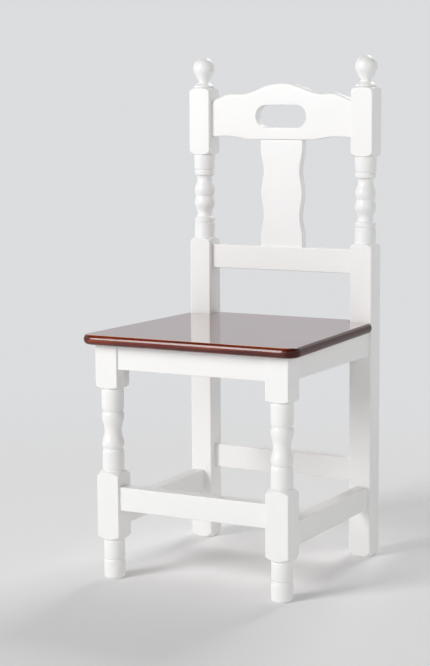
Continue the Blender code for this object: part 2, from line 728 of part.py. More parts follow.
def seat_board(posts):
    """Seat board with a nosing all round, notched at the back around both posts."""
    place = (0, 0, SEAT_HEIGHT - SEAT_THICKNESS / 2)
    seat = add_piece("seat_board", nosed_board(), MAHOGANY_LACQUER, place)
    combine(seat, add_object("seat_board_tongue", seat_tongue(), place), "UNION")
    half = POST_SIZE / 2 + NOTCH_GAP
    for side, sign in SIDES:
        outer = half + SEAT_REAR_SIDE_OVERHANG + OVERRUN
        across = sorted((-sign * half, sign * outer))
        notch = box_mesh((across[0], -half, -SEAT_THICKNESS), (across[1], half + OVERRUN, SEAT_THICKNESS))
        tool = add_object("seat_board_notch_" + side, notch, (sign * POST_X, POST_Y, place[2]))
        combine(seat, tool, "DIFFERENCE")
    return seat


def screw_profile(length, grow=0, pocket=0):
    """Countersunk screw from its tip up, or with a gap around it, the hole that it sits in."""
    profile = [
        (0, -grow),
        (SCREW_TIP_RADIUS + grow, -grow),
        (SCREW_RADIUS + grow, SCREW_TIP_LENGTH),
        (SCREW_RADIUS + grow, length - SCREW_HEAD_HEIGHT),
        (SCREW_HEAD_RADIUS + grow, length),
    ]
    if pocket:
        profile += [
            (SCREW_HEAD_RADIUS + SCREW_POCKET_GAP, length),
            (SCREW_HEAD_RADIUS + SCREW_POCKET_GAP, length + pocket),
            (0, length + pocket),
        ]
    else:
        profile.append((0, length))
    return profile


def drive_screw(name, length, tip, turn, pocket, holders):
    """A screw with its tip at a place, and its hole in each piece that it passes through."""
    screw = add_piece(name, lathe(screw_profile(length), SCREW_SIDES), ZINC_STEEL, tip, turn)
    for holder in holders:
        hole = lathe(screw_profile(length, FIT_GAP, pocket), SCREW_SIDES)
        combine(holder, add_object(name + "_hole_in_" + holder.name, hole, tip, turn), "DIFFERENCE")
    return screw


def corner_block_mesh(leg_across, leg_along):
    """Block that fills the corner between two aprons and is notched around the leg.

    Its own X and Y run inward from the aprons' inner faces. The two sizes say how far the leg stands
    into that corner.
    """
    across, along = leg_across + FIT_GAP, leg_along + FIT_GAP
    plan = (
        (across, FIT_GAP), (BLOCK_REACH, FIT_GAP), (BLOCK_REACH, BLOCK_END),
        (BLOCK_END, BLOCK_REACH), (FIT_GAP, BLOCK_REACH), (FIT_GAP, along), (across, along),
    )
    return loft([[(x, y, z) for x, y in plan] for z in (-BLOCK_HEIGHT, 0)])


def corner_blocks(aprons, seat):
    """Four glue blocks, each screwed to its two aprons and up into the seat."""
    inner_x = SIDE_APRON_X - APRON_THICKNESS / 2
    rows = (
        ("front", 1, FRONT_APRON_Y + APRON_THICKNESS / 2, LEG_SIZE, LEG_BACK_Y),
        ("rear", -1, REAR_APRON_Y - APRON_THICKNESS / 2, POST_SIZE, POST_FRONT_Y),
    )
    for row, inward_y, inner_y, bar_size, bar_inner_y in rows:
        for side, sign in SIDES:
            corner = (sign * inner_x, inner_y, UNDERFRAME_TOP)
            leg_across = inner_x - (FRAME_WIDTH / 2 - bar_size)
            leg_along = (bar_inner_y - inner_y) * inward_y
            body = corner_block_mesh(leg_across, leg_along)
            for vert in body.verts:
                vert.co.x *= -sign
                vert.co.y *= inward_y
            name = "corner_block_" + row + "_" + side
            block = add_piece(name, body, RAW_WOOD, corner)
            holders = (aprons[row + "_apron"], aprons[side + "_apron"])
            block_screws(row + "_" + side, corner, (-sign, inward_y), block, holders, seat)


def block_screws(label, corner, inward, block, aprons, seat):
    """Two screws from a corner block into its aprons, and one up into the seat."""
    cross_apron, side_apron = aprons
    x, y, top = corner
    length = APRON_SCREW_SEAT + SCREW_BITE
    pocket = BLOCK_REACH
    level = top - BLOCK_HEIGHT / 2
    tip = (x + inward[0] * APRON_SCREW_PLACE, y - inward[1] * SCREW_BITE, level)
    turn = (-inward[1] * math.pi / 2, 0, 0)
    drive_screw("apron_screw_" + label + "_cross", length, tip, turn, pocket, (block, cross_apron))
    tip = (x - inward[0] * SCREW_BITE, y + inward[1] * APRON_SCREW_PLACE, level)
    turn = (0, inward[0] * math.pi / 2, 0)
    drive_screw("apron_screw_" + label + "_side", length, tip, turn, pocket, (block, side_apron))
    length = SCREW_BITE + FIT_GAP + BLOCK_HEIGHT - SEAT_SCREW_RECESS
    tip = (
        x + inward[0] * SEAT_SCREW_PLACE, y + inward[1] * SEAT_SCREW_PLACE,
        SEAT_UNDERSIDE + SCREW_BITE,
    )
    turn = (math.pi, 0, 0)
    drive_screw("seat_screw_" + label, length, tip, turn, pocket, (block, seat))


def main():
    clear_scene()
    legs = front_legs()
    posts = back_posts()
    rails = cross_rails(legs, posts)
    rails.update(side_rails(legs, posts))
    crest = crest_rail(posts)
    back_splat(crest, rails["lower_back_rail"])
    seat = seat_board(posts)
    corner_blocks(rails, seat)


main()
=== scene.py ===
"""Dining chair with turned legs and posts in satin white paint and a seat in mahogany lacquer.

The packed model is the fixed frame. The painted pieces, the seat and the screws are made again here
with the finer curves and eased edges of the real ones, and each finish is mixed from nodes.
Lengths are in metres. +X is the viewer's right, -Y is the front and +Z is up.
"""

import math

import bmesh
import bpy
from mathutils import Matrix, Vector


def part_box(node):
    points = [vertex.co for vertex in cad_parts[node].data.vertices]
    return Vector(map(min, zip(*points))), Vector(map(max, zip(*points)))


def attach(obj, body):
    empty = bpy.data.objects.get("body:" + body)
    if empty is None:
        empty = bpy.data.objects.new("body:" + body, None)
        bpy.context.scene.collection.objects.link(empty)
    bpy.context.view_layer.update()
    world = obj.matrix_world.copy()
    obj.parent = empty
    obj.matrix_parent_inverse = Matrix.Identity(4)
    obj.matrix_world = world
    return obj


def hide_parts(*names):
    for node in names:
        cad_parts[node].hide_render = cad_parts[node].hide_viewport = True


bl_info = {
    "name": "Dining Chair",
    "version": (1, 0, 0),
    "blender": (4, 5, 0),
    "location": "View3D > Sidebar > Chair",
    "description": "Makes a painted chair with a lacquered seat around its packed model",
    "category": "Object",
}

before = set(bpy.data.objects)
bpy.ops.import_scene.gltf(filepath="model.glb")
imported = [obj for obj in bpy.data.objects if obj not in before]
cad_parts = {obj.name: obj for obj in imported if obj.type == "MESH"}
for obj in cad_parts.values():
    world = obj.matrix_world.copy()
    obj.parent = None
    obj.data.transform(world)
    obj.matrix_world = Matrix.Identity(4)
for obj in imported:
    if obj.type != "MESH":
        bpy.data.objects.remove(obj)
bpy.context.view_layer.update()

SIDES = ("left", "right")
ALONG_X = Matrix.Rotation(-math.pi / 2, 4, "Y")
ALONG_Y = Matrix.Rotation(-math.pi / 2, 4, "X")
UPRIGHT = Matrix.Identity(4)

# Longest steps along a turned outline.
COARSE_STEP = 0.0007
FINE_STEP = 0.0005
FINEST_STEP = 0.0004
# Edges that turn by more than these angles stay crisp in the light.
CRISP_FLATS = math.radians(38)
CRISP_BLOCKS = math.radians(50)
CRISP_SCREWS = math.radians(35)
# A lathe radius of this share of a block's width leaves the block square.
CLEAR_SHARE = 0.75
# A shoulder swells just past the block's corner, and a little further on it is clear of it.
PAST_CORNER_SHARE = 1.01
RUN_OUT = 0.001
# How far the seat's tongue between the posts runs into the board.
TONGUE_LAP = 0.02

# Wood screws. The threaded share is of the length, the plain ridge share is of the thread's
# height, and the other shares are of the shank's radius.
SHANK_RADIUS = 0.002
HEAD_RADIUS = 0.004
HEAD_HEIGHT = 0.0025
TIP_HEIGHT = 0.004
SCREW_STEP = 0.00022
THREADS_PER_METRE = 620
THREAD_STEEPNESS = 5
THREADED_SHARE = 0.7
PLAIN_RIDGE_SHARE = 0.6
POINT_SHARE = 0.15
CORE_SHARE = 0.74
UNDER_HEAD_SHARE = 0.9
# Each bar of the cross recess: its length and width at the rim and at the bottom.
RECESS_RIM = (0.0046, 0.0009)
RECESS_BOTTOM = (0.0016, 0.0005)
RECESS_DEPTH = 0.0021
RECESS_OVERRUN = 0.0005

# The surround has the backdrop's colour up to this sine of the elevation, and above it reaches
# each of these shades at the sine that stands before it.
BACKDROP_TOP = 0.05
SURROUND = (
    (0.11, (0.555, 0.54, 0.565)), (0.22, (0.76, 0.75, 0.765)), (0.37, (1.62, 1.62, 1.62)),
    (0.56, (0.12, 0.12, 0.12)), (0.80, (0.05, 0.05, 0.05)),
)
# The lamps face the chair's middle.
CHAIR_MIDDLE = Vector((0, 0, 0.45))
# The photograph's point of view, with angles in degrees and the sensor in millimetres.
CAMERA_PLACE = (1.49426, -2.87094, 0.87941)
CAMERA_ANGLES = (82.31289, 0.31727, 28.22090)
SENSOR_WIDTH = 36

# Turned outlines, from the floor side up: the shape of each stretch, its radius as a share of the
# turned radius and its height as a share of the turned section.
FOOT_START = 0.78
FOOT = (
    ("swell", 0.955, 0.095), ("line", 0.96, 0.30), ("line", 0.97, 0.415), ("tuck", 0.84, 0.499),
    ("bead", 0.945, 0.563), ("line", 0.945, 0.965), ("tuck", 0.90, 0.990), ("line", 0.90, 1.00),
)
VASE_START = 0.92
VASE = (
    ("bead", 0.97, 0.022), ("line", 0.965, 0.195), ("tuck", 0.835, 0.257), ("bead", 0.985, 0.315),
    ("ease", 0.765, 0.465), ("line", 0.765, 0.485), ("ease", 0.99, 0.655), ("tuck", 0.83, 0.708),
    ("bead", 0.975, 0.758), ("line", 0.99, 0.80), ("line", 0.99, 0.968), ("tuck", 0.92, 0.990),
    ("line", 0.92, 1.00),
)
# Half of the double baluster, from its middle to a block.
BALUSTER_START = 0.83
BALUSTER = (
    ("bead", 0.97, 0.161), ("ease", 0.69, 0.405), ("tuck", 0.83, 0.500), ("swell", 0.945, 0.546),
    ("line", 0.945, 0.606), ("line", 0.87, 0.636), ("line", 0.965, 0.660), ("line", 0.985, 0.985),
    ("line", 0.985, 1.00),
)
# Sawn outlines, as shares of half the length and of the height or half the width.
CREST_TOP = (
    (0.00, 1.000), (0.14, 0.981), (0.28, 0.924), (0.42, 0.854), (0.52, 0.820), (0.60, 0.812),
    (0.70, 0.818), (0.76, 0.809), (0.84, 0.771), (0.93, 0.722), (1.00, 0.680),
)
CREST_UNDERSIDE = (
    (0.00, 0.000), (0.45, 0.000), (0.53, 0.013), (0.62, 0.036), (0.71, 0.050), (0.81, 0.053),
    (0.90, 0.047), (1.00, 0.035),
)
SPLAT_SIDE = (
    (0.00, 0.985), (0.10, 0.970), (0.22, 0.920), (0.34, 0.878), (0.44, 0.868), (0.54, 0.890),
    (0.66, 0.950), (0.78, 0.995), (0.88, 1.000), (1.00, 1.000),
)


def length(label, default, description):
    """A size in metres that a user may change."""
    return bpy.props.FloatProperty(
        name=label, default=default, description=description, min=0, precision=4, step=0.1,
        subtype="DISTANCE", unit="LENGTH",
    )


def share(label, default, description):
    """A value from 0 to 1 that a user may change."""
    return bpy.props.FloatProperty(
        name=label, default=default, description=description, min=0, max=1, subtype="FACTOR",
    )


def colour(label, default, description):
    """A colour that a user may change."""
    return bpy.props.FloatVectorProperty(
        name=label, default=default, description=description, size=3, min=0, max=1,
        subtype="COLOR",
    )


def power(label, default, description):
    """A lamp's power that a user may change."""
    return bpy.props.FloatProperty(
        name=label, default=default, description=description, min=0, unit="POWER",
    )


class ChairTurning(bpy.types.PropertyGroup):
    """Sizes of the turned legs and posts."""

    leg_edge: length("Leg edge", 0.0015, "Eased edge of the front legs' blocks")
    leg_radius: length("Leg radius", 0.0206, "Turned radius of the front legs")
    leg_pommel: length("Leg pommel", 0.010, "Height of the slopes of the lower block")
    leg_shoulder: length("Leg shoulder", 0.0048, "Height of the shoulder under the top block")
    post_edge: length("Post edge", 0.0025, "Eased edge of the back posts' blocks")
    post_radius: length("Post radius", 0.0207, "Turned radius of the back posts")
    post_shoulder: length("Post shoulder", 0.0105, "Height of the posts' round shoulders")
    post_rim: length("Post rim", 0.0025, "Rounding of the posts at the floor")
    post_foot: length("Post foot", 0.0235, "Turned radius of the posts at the floor")
    post_slope: length("Post slope", 0.0135, "Height of the slope at the posts' feet")
    finial_height: length("Finial height", 0.0592, "From the top block to the ball's top")
    ball_radius: length("Ball radius", 0.0210, "Radius of the ball finials")
    neck_radius: length("Neck radius", 0.0099, "Radius of the neck under each ball")
    disc_radius: length("Disc radius", 0.0199, "Radius of the disc under each finial")
    disc_edge: length("Disc edge", 0.0030, "Rounding of the disc's lower rim")
    neck_height: length("Neck height", 0.0128, "From the top block to the neck's narrowest part")
    foot_gap: length("Foot gap", 0.0223, "From the side stretchers to the legs' turned feet")
    vase_gap: length("Vase gap", 0.0280, "From the front stretcher to the legs' turned vases")
    apron_gap: length("Apron gap", 0.0355, "From the front apron to the legs' shoulders")
    rail_gap: length("Rail gap", 0.0118, "From the lower back rail to the posts' balusters")
    crest_gap: length("Crest gap", 0.0302, "From the crest rail to the posts' balusters")


class ChairJoinery(bpy.types.PropertyGroup):
    """Sizes of the rails, the crest rail and the splat."""

    rail_edge: length("Rail edge", 0.0015, "Eased edge of the planed rails")
    crest_edge: length("Crest edge", 0.007, "Rounding of the crest rail's top")
    crest_rim: length("Crest rim", 0.002, "Rounding of the crest rail's underside")
    slot_length: length("Slot length", 0.1066, "Length of the hand slot")
    slot_height: length("Slot height", 0.0425, "Height of the hand slot")
    slot_rise: length("Slot rise", 0.0226, "From the crest rail's underside to the slot")
    splat_edge: length("Splat edge", 0.002, "Rounding of the splat's scalloped sides")
    lap: length("Joint lap", 0.0001, "How far shoulders run into the wood that they meet")


class ChairSeat(bpy.types.PropertyGroup):
    """Sizes of the seat board."""

    front_corner: length("Front corner", 0.026, "Rounding of the seat's front corners")
    rear_corner: length("Rear corner", 0.0098, "Rounding of the seat's rear corners")
    nosing: length("Nosing", 0.007, "How far the rounded edge is drawn in")
    side_overhang: length("Side overhang", 0.0233, "How far the seat stands out at its front")
    rear_overhang: length("Rear overhang", 0.0045, "How far the seat stands out beside the posts")
    clearance: length("Clearance", 0.0005, "Gap between the seat and the posts")
    strip: length("Strip", 0.062, "Width of the strips that it is glued up from")


class ChairFinishes(bpy.types.PropertyGroup):
    """Colours and sheen of the finishes."""

    paint: colour("Paint", (0.90, 0.90, 0.89), "Satin white paint")
    paint_sheen: share("Paint roughness", 0.38, "Lower is glossier")
    lacquer_dark: colour("Dark lacquer", (0.065, 0.006, 0.003), "Darkest grain of the seat")
    lacquer: colour("Lacquer", (0.27, 0.027, 0.008), "Mahogany stain of the seat")
    # This colour also paints a highlight along the seat's front top edge.
    lacquer_light: colour("Light lacquer", (0.60, 0.14, 0.02), "Lightest grain of the seat")
    lacquer_gloss: share("Lacquer roughness", 0.06, "Roughness of the clear top coat")
    raw_wood: colour("Raw wood", (0.70, 0.52, 0.33), "Unfinished pine of the corner blocks")
    steel: colour("Zinc", (0.68, 0.66, 0.60), "Zinc plating of the screws")


class ChairStage(bpy.types.PropertyGroup):
    """Floor, lamps and camera."""

    backdrop: colour("Backdrop", (0.71, 0.72, 0.735), "Pale backdrop round the floor")
    floor: colour("Floor", (0.91, 0.91, 0.91), "Pale floor under the chair")
    key: power("Key lamp", 190, "Power of the front left softbox")
    back: power("Back lamp", 115, "Power of the high rear softbox")
    lens: bpy.props.FloatProperty(
        name="Lens", default=95.662, min=1, description="Focal length in millimetres",
        subtype="DISTANCE_CAMERA", unit="CAMERA",
    )


def carry(outline, stretch, radius, height, fine=COARSE_STEP):
    """Carry a turned outline on to a new radius and height along one stretch."""
    start_radius, start_height = outline[-1]
    if stretch == "line":
        outline.append((radius, height))
        return
    steps = max(4, math.ceil(math.dist(outline[-1], (radius, height)) / fine))
    for step in range(1, steps + 1):
        t = step / steps
        angle = math.pi / 2 * t
        across, along = {
            "bead": (math.sin(angle), t),
            "cone": (t, t),
            "ease": ((1 - math.cos(2 * angle)) / 2, t),
            "swell": (math.sin(angle), 1 - math.cos(angle)),
            "tuck": (1 - math.cos(angle), math.sin(angle)),
        }[stretch]
        outline.append((
            start_radius + (radius - start_radius) * across,
            start_height + (height - start_height) * along,
        ))


def turned_section(start, stretches, radius, bottom, top):
    """Turned section from its shares, between two heights."""
    outline = [(start * radius, bottom)]
    for stretch, across, along in stretches:
        carry(outline, stretch, across * radius, bottom + (top - bottom) * along)
    return outline


def ease_corners(outline, reach=0.0006, side_share=0.45, sharp=math.radians(20), steps=4):
    """Round the sharp corners of an outline as sanding and paint do."""
    eased = [outline[0]]
    for before, corner, after in zip(outline, outline[1:], outline[2:]):
        at = Vector(corner)
        into, out = at - Vector(before), Vector(after) - at
        if min(into.length, out.length) < 1e-7 or into.angle(out) < sharp:
            eased.append(corner)
            continue
        back = at - into.normalized() * min(reach, into.length * side_share)
        on = at + out.normalized() * min(reach, out.length * side_share)
        for step in range(steps + 1):
            t = step / steps
            point = back * (1 - t) ** 2 + at * (2 * t * (1 - t)) + on * t ** 2
            eased.append(tuple(point))
    eased.append(outline[-1])
    return eased


def bar_reach(angle, half, edge):
    """Distance from a square bar's axis to its eased surface."""
    across, along = sorted((abs(math.cos(angle)), abs(math.sin(angle))))
    flat = half / along
    inner = half - edge
    if flat * across <= inner:
        return flat
    middle = inner * (across + along)
    return middle + math.sqrt(middle ** 2 - 2 * inner ** 2 + edge ** 2)


def turning_angles():
    """Angles round a turned bar, closer together at its corners."""
    octant = [3.0 * step for step in range(14)] + [40.5, 41.7, 42.6, 43.4, 44.2]
    quarter = octant + [45.0] + [90 - angle for angle in reversed(octant[1:])]
    return [math.radians(angle + 90 * turn) for turn in range(4) for angle in quarter]


def soft_smaller(first, second, blend=0.0008):
    """The smaller of two distances, rounded where they cross."""
    mix = min(1.0, max(0.0, 0.5 + 0.5 * (second - first) / blend))
    return second + (first - second) * mix - blend * mix * (1 - mix)


def turned_bar(outline, half, edge, foot=0.0):
    """Rings of a square bar that is turned where the outline comes inside it."""
    angles = turning_angles()
    reaches = [bar_reach(angle, half, edge) for angle in angles]
    rings = []
    for radius, height in outline:
        lift = max(0.0, foot - height)
        shrink = 1 - (foot - math.sqrt(foot ** 2 - lift ** 2)) / half if foot else 1
        ring = []
        for angle, reach in zip(angles, reaches):
            distance = soft_smaller(radius, reach * shrink)
            ring.append((distance * math.cos(angle), distance * math.sin(angle), height))
        rings.append(ring)
    return rings


def skin(rings):
    """Skin a list of rings and close both ends."""
    bm = bmesh.new()
    loops = [[bm.verts.new(point) for point in ring] for ring in rings]
    for lower, upper in zip(loops, loops[1:]):
        for index, vert in enumerate(lower):
            following = (index + 1) % len(lower)
            bm.faces.new((vert, lower[following], upper[following], upper[index]))
    for loop in (loops[0], loops[-1]):
        middle = bm.verts.new(sum((vert.co for vert in loop), Vector()) / len(loop))
        for index, vert in enumerate(loop):
            bm.faces.new((vert, loop[(index + 1) % len(loop)], middle))
    bmesh.ops.remove_doubles(bm, verts=bm.verts, dist=1e-6)
    bmesh.ops.recalc_face_normals(bm, faces=bm.faces)
    return bm


def add_object(name, bm, place=(0, 0, 0), lie=UPRIGHT):
    """Turn a mesh under construction into an object."""
    mesh = bpy.data.meshes.new(name)
    bm.to_mesh(mesh)
    bm.free()
    mesh.shade_smooth()
    made = bpy.data.objects.new(name, mesh)
    made.matrix_world = Matrix.Translation(place) @ lie
    bpy.context.scene.collection.objects.link(made)
    return made


def soften_shading(made):
    """Keep flats flat in the light, which turns on the eased edges."""
    made.data.set_sharp_from_angle(angle=CRISP_FLATS)
    modifier = made.modifiers.new("Flat faces", "WEIGHTED_NORMAL")
    modifier.weight = 80
    modifier.keep_sharp = True


def hand_over(made, slot, solid):
    """Give a piece its finish and let it stand for its solid in the frame."""
    made.data.materials.clear()
    made.data.materials.append(finish(slot))
    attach(made, "root")
    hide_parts(solid)


def combine(made, tool, operation):
    """Cut a piece with a tool or join the tool to it, and throw the tool away."""
    modifier = made.modifiers.new(operation, "BOOLEAN")
    modifier.operation = operation
    modifier.solver = "EXACT"
    modifier.object = tool
    bpy.context.view_layer.update()
    view = made.evaluated_get(bpy.context.evaluated_depsgraph_get())
    result = bpy.data.meshes.new_from_object(view)
    made.modifiers.clear()
    made.data = result
    bpy.data.objects.remove(tool, do_unlink=True)


def rounded_rectangle(width, height, edge, steps=4):
    """Outline of a rectangle with rounded corners, around its middle."""
    points = []
    for quarter, (side_x, side_y) in enumerate(((1, 1), (-1, 1), (-1, -1), (1, -1))):
        for step in range(steps + 1):
            angle = (quarter + step / steps) * math.pi / 2
            points.append((
                side_x * (width / 2 - edge) + edge * math.cos(angle),
                side_y * (height / 2 - edge) + edge * math.sin(angle),
            ))
    return points


def board(span, width, height, edge):
    """Straight rail along its own Z with eased long edges."""
    section = rounded_rectangle(width, height, edge)
    return skin([[(x, y, z) for x, y in section] for z in (-span / 2, span / 2)])


def feed(tree, target, sockets):
    """Feed a node's sockets with values or other nodes' outputs."""
    for name, value in sockets.items():
        if isinstance(value, bpy.types.NodeSocket):
            tree.links.new(value, target.inputs[name])
        else:
            target.inputs[name].default_value = value


def node(tree, kind, sockets=None, **settings):
    """Add a node, set it up and feed its sockets."""
    made = tree.nodes.new(kind)
    for name, value in settings.items():
        setattr(made, name, value)
    feed(tree, made, sockets or {})
    return made


def maths(tree, kind, operation, *values):
    """Result of a maths or vector maths node."""
    return node(tree, kind, dict(enumerate(values)), operation=operation).outputs[0]


def new_material(name):
    """A material, its node tree and its Principled shader."""
    material = bpy.data.materials.new(name)
    material.use_nodes = True
    tree = material.node_tree
    return material, tree, tree.nodes["Principled BSDF"]


def shifted(tree, vector, luck, spread):
    """Coordinates shifted by a number from 0 to 1 times a spread."""
    shift = maths(tree, "ShaderNodeVectorMath", "MULTIPLY", luck, spread)
    return maths(tree, "ShaderNodeVectorMath", "ADD", vector, shift)


def stretched(tree, vector, scale, seed=0.0):
    """Coordinates stretched along each axis, and moved on by a seed."""
    sockets = {"Vector": vector, "Scale": scale, "Location": (seed, seed, seed)}
    return node(tree, "ShaderNodeMapping", sockets).outputs[0]


def piece_coordinates(tree, scale, seed=0.0):
    """Coordinates in the piece's own frame, stretched, and shifted by its own amount."""
    own = node(tree, "ShaderNodeTexCoord").outputs["Object"]
    luck = node(tree, "ShaderNodeObjectInfo").outputs["Random"]
    return stretched(tree, shifted(tree, own, luck, (7.3, 5.1, 3.7)), scale, seed)


def noise(tree, vector, scale=1.0, detail=4.0, roughness=0.55, distortion=0.0):
    """Noise between 0 and 1."""
    return node(
        tree, "ShaderNodeTexNoise",
        {"Vector": vector, "Scale": scale, "Detail": detail, "Roughness": roughness,
         "Distortion": distortion},
    ).outputs[0]


def ranged(tree, value, low, high, out_low=0.0, out_high=1.0):
    """A value carried from one range to another."""
    return node(
        tree, "ShaderNodeMapRange",
        {"Value": value, "From Min": low, "From Max": high, "To Min": out_low, "To Max": out_high},
    ).outputs[0]


def blended(tree, factor, first, second):
    """Two colours mixed by a factor."""
    sockets = {0: factor, 6: first, 7: second}
    for index in (6, 7):
        if not isinstance(sockets[index], bpy.types.NodeSocket):
            sockets[index] = (*sockets[index][:3], 1.0)
    return node(tree, "ShaderNodeMix", sockets, data_type="RGBA").outputs[2]


def bumped(tree, height, strength, distance, normal=None):
    """Surface relief from a height."""
    sockets = {"Height": height, "Strength": strength, "Distance": distance}
    if normal is not None:
        sockets["Normal"] = normal
    return node(tree, "ShaderNodeBump", sockets).outputs[0]


def white_paint(title, finishes):
    """Satin white paint, brushed on, with the grain just felt under it."""
    material, tree, shader = new_material(title)
    grain = noise(tree, piece_coordinates(tree, (230, 230, 7)), detail=5)
    brush = noise(tree, piece_coordinates(tree, (420, 420, 14), seed=3.0), detail=3)
    peel = noise(tree, piece_coordinates(tree, (1, 1, 1), seed=5.0), scale=340, detail=2)
    cloud = noise(tree, piece_coordinates(tree, (9, 9, 3), seed=8.0), detail=3)
    white = finishes.paint
    shade = [value * tint for value, tint in zip(white, (0.968, 0.962, 0.948))]
    body = blended(tree, ranged(tree, cloud, 0.35, 0.70, 0.0, 0.75), white, shade)
    body = blended(tree, ranged(tree, grain, 0.52, 0.75, 0.0, 0.30), body, shade)
    sheen = finishes.paint_sheen
    relief = bumped(tree, grain, 0.30, 0.00025)
    relief = bumped(tree, brush, 0.25, 0.00012, relief)
    relief = bumped(tree, peel, 0.20, 0.00015, relief)
    feed(tree, shader, {
        "Base Color": body,
        "Roughness": ranged(tree, brush, 0.3, 0.7, sheen - 0.05, sheen + 0.07),
        "Normal": relief,
        "Coat Weight": 0.15,
        "Coat Roughness": 0.25,
    })
    return material


def seat_strips(tree, own, width):
    """A number of its own for each strip that the seat is glued up from."""
    y = node(tree, "ShaderNodeSeparateXYZ", {0: own}).outputs["Y"]
    place = maths(tree, "ShaderNodeMath", "DIVIDE", y, width)
    strip = maths(tree, "ShaderNodeMath", "FLOOR", place)
    return node(tree, "ShaderNodeTexWhiteNoise", {"W": strip}, noise_dimensions="1D").outputs[0]


def seat_faces(tree):
    """Masks for the seat's flat top, its front arris, which gets a painted highlight, and its end
    grain.
    """
    normal = node(tree, "ShaderNodeNewGeometry").outputs["Normal"]
    split = node(tree, "ShaderNodeSeparateXYZ", {0: normal}).outputs
    along = maths(tree, "ShaderNodeMath", "ABSOLUTE", split["X"])
    ahead = maths(tree, "ShaderNodeMath", "ADD", split["Y"], along)
    flat = ranged(tree, split["Z"], 0.975, 0.995)
    front = ranged(tree, ahead, 0.0, -0.08)
    # Normals tilted a little forward from the top: the band where the painted highlight goes.
    arris_tilt = ranged(tree, split["Z"], 0.86, 0.94, 0.0, 0.85)
    arris = maths(tree, "ShaderNodeMath", "MULTIPLY", front, arris_tilt)
    return flat, arris, ranged(tree, along, 0.12, 0.45)


def mahogany_lacquer(title, finishes):
    """Wood stained to mahogany under a clear gloss lacquer."""
    material, tree, shader = new_material(title)
    own = node(tree, "ShaderNodeTexCoord").outputs["Object"]
    luck = seat_strips(tree, own, bpy.context.scene.chair_seat.strip)
    moved = shifted(tree, own, luck, (3.0, 0.6, 1.1))
    figure = noise(tree, stretched(tree, moved, (3.5, 55, 55)), detail=5, distortion=0.9)
    grain = noise(tree, stretched(tree, moved, (14, 420, 420)), detail=4)
    pore = noise(tree, stretched(tree, moved, (55, 1300, 1300)), detail=1)
    dark, light = finishes.lacquer_dark, finishes.lacquer_light
    body = blended(tree, ranged(tree, figure, 0.38, 0.66), dark, finishes.lacquer)
    streaks = ranged(tree, grain, 0.48, 0.72)
    where = ranged(tree, figure, 0.45, 0.75, 0.15)
    body = blended(tree, maths(tree, "ShaderNodeMath", "MULTIPLY", streaks, where), body, light)
    body = blended(tree, ranged(tree, luck, 0, 1, 0.0, 0.35), body, dark)
    body = blended(tree, ranged(tree, pore, 0.60, 0.70, 0.0, 0.55), body, dark)
    flat, arris, ends = seat_faces(tree)
    soaked = [value * 0.6 for value in dark]
    body = blended(tree, ranged(tree, ends, 0, 1, 0.0, 0.9), body, soaked)
    # Painted highlight: the front top edge is lightened to the light lacquer.
    body = blended(tree, arris, body, light)
    wave = noise(tree, own, scale=14, detail=2)
    feed(tree, shader, {
        "Base Color": body,
        "Roughness": ranged(tree, flat, 0, 1, 0.40, 0.08),
        "Specular IOR Level": ranged(tree, flat, 0, 1, 0.08, 0.50),
        "Normal": bumped(tree, grain, 0.15, 0.0001),
        "Coat Normal": bumped(tree, wave, 0.12, 0.0012),
        "Coat Weight": ranged(tree, ends, 0, 1, 1.0, 0.4),
        "Coat Roughness": finishes.lacquer_gloss,
    })
    return material


def raw_pine(title, finishes):
    """Planed pine without a finish, as glue blocks are."""
    material, tree, shader = new_material(title)
    own = node(tree, "ShaderNodeTexCoord").outputs["Object"]
    ring = noise(tree, stretched(tree, own, (12, 160, 160)), detail=4, distortion=0.6)
    fibre = noise(tree, stretched(tree, own, (60, 1500, 1500)), detail=2)
    late = [value * tint for value, tint in zip(finishes.raw_wood, (0.80, 0.66, 0.48))]
    body = blended(tree, ranged(tree, ring, 0.50, 0.66), finishes.raw_wood, late)
    feed(tree, shader, {
        "Base Color": blended(tree, ranged(tree, fibre, 0.4, 0.7, 0.0, 0.25), body, late),
        "Roughness": ranged(tree, fibre, 0.3, 0.7, 0.55, 0.75),
        "Normal": bumped(tree, fibre, 0.35, 0.0002),
    })
    return material


def zinc_steel(title, finishes):
    """Bright zinc plating with fine mottling."""
    material, tree, shader = new_material(title)
    own = node(tree, "ShaderNodeTexCoord").outputs["Object"]
    mottle = noise(tree, own, scale=900, detail=3)
    dull = [value * 0.75 for value in finishes.steel]
    feed(tree, shader, {
        "Base Color": blended(tree, ranged(tree, mottle, 0.35, 0.7), finishes.steel, dull),
        "Roughness": ranged(tree, mottle, 0.3, 0.7, 0.28, 0.45),
        "Normal": bumped(tree, mottle, 0.2, 0.0001),
        "Metallic": 1.0,
    })
    return material


# Each slot's finish: the material's name, and the function that mixes it.
FINISHES = {
    "white_paint": ("Satin white paint", white_paint),
    "mahogany_lacquer": ("Mahogany lacquer", mahogany_lacquer),
    "raw_wood": ("Raw pine", raw_pine),
    "zinc_steel": ("Zinc plated steel", zinc_steel),
}


def finish(slot):
    """The finish of a slot, mixed the first time that a piece needs it."""
    title, mix = FINISHES[slot]
    return bpy.data.materials.get(title) or mix(title, bpy.context.scene.chair_finishes)


def shoulder(outline, size, edge, rise):
    """Round shoulder where a turned section runs out into the block above it."""
    start = outline[-1][1]
    corner = size / math.sqrt(2) - edge * (math.sqrt(2) - 1)
    carry(outline, "swell", corner * PAST_CORNER_SHARE, start + rise, FINEST_STEP)
    outline.append((size * CLEAR_SHARE, start + rise + RUN_OUT))


def shoulder_above(size, edge, radius, top, rise):
    """The same shoulder at the upper end of a block, listed from the floor side up."""
    outline = [(radius, -top)]
    shoulder(outline, size, edge, rise)
    return [(across, -height) for across, height in reversed(outline)]


